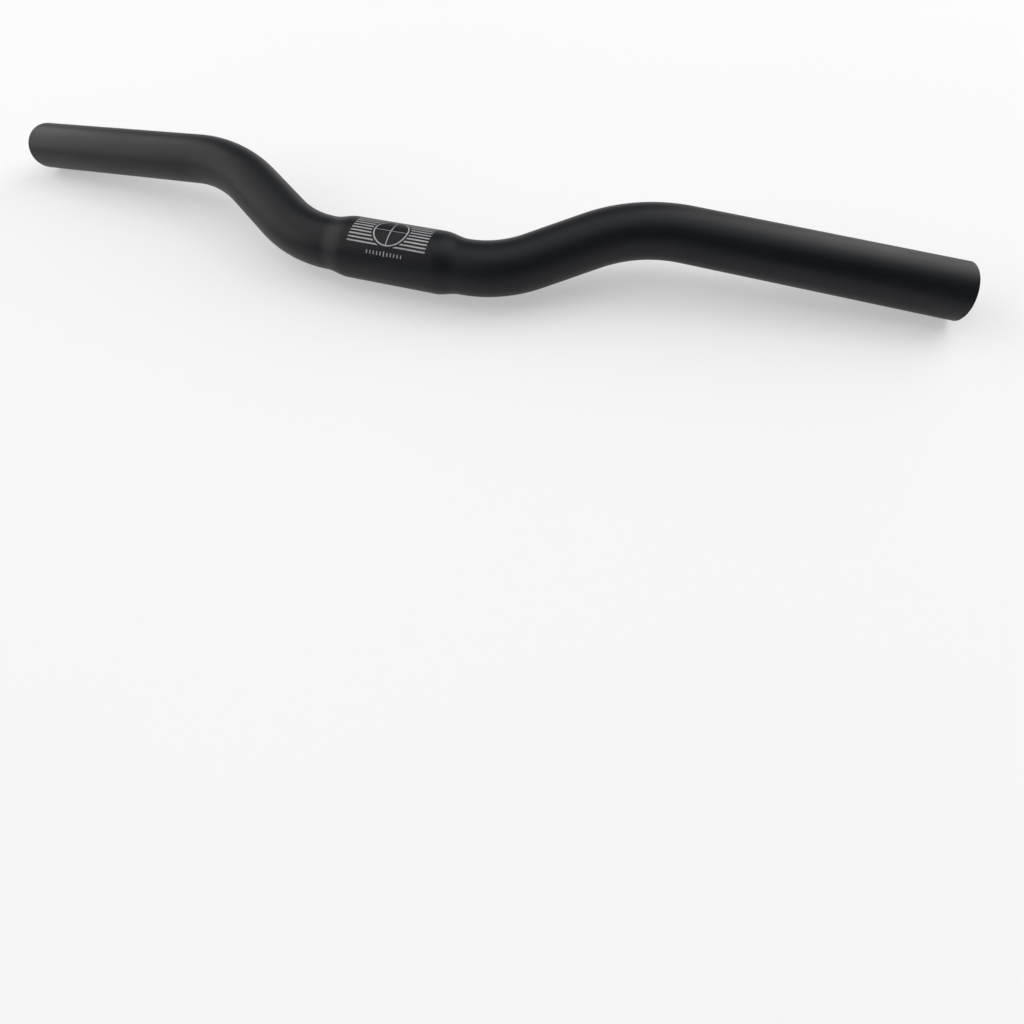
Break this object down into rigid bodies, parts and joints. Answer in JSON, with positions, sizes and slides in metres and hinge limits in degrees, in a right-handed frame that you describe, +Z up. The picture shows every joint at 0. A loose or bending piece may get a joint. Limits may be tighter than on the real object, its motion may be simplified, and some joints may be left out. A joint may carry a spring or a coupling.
{
  "type": "riser handlebar",
  "caption": "Short low-rise bicycle handlebar: one bent aluminium tube with a wide clamp zone, sloped arms and slightly swept-back grips, satin black.",
  "frame": {"origin": "centre of the stem clamp zone, on the clamp's axis", "axes": "The bar lies on its back, as it rests on a table. +X along the clamp's axis towards the right-hand grip in the picture, +Y level, the way the rise points, +Z up. The clamp and both tips touch the table at z = -12.7 mm."},
  "size_m": [0.42, 0.0562, 0.0325],
  "materials": {
    "satin_black_aluminium": "satin"
  },
  "bodies": {
    "root": {"handlebar": "satin_black_aluminium"}
  },
  "joints": []
}
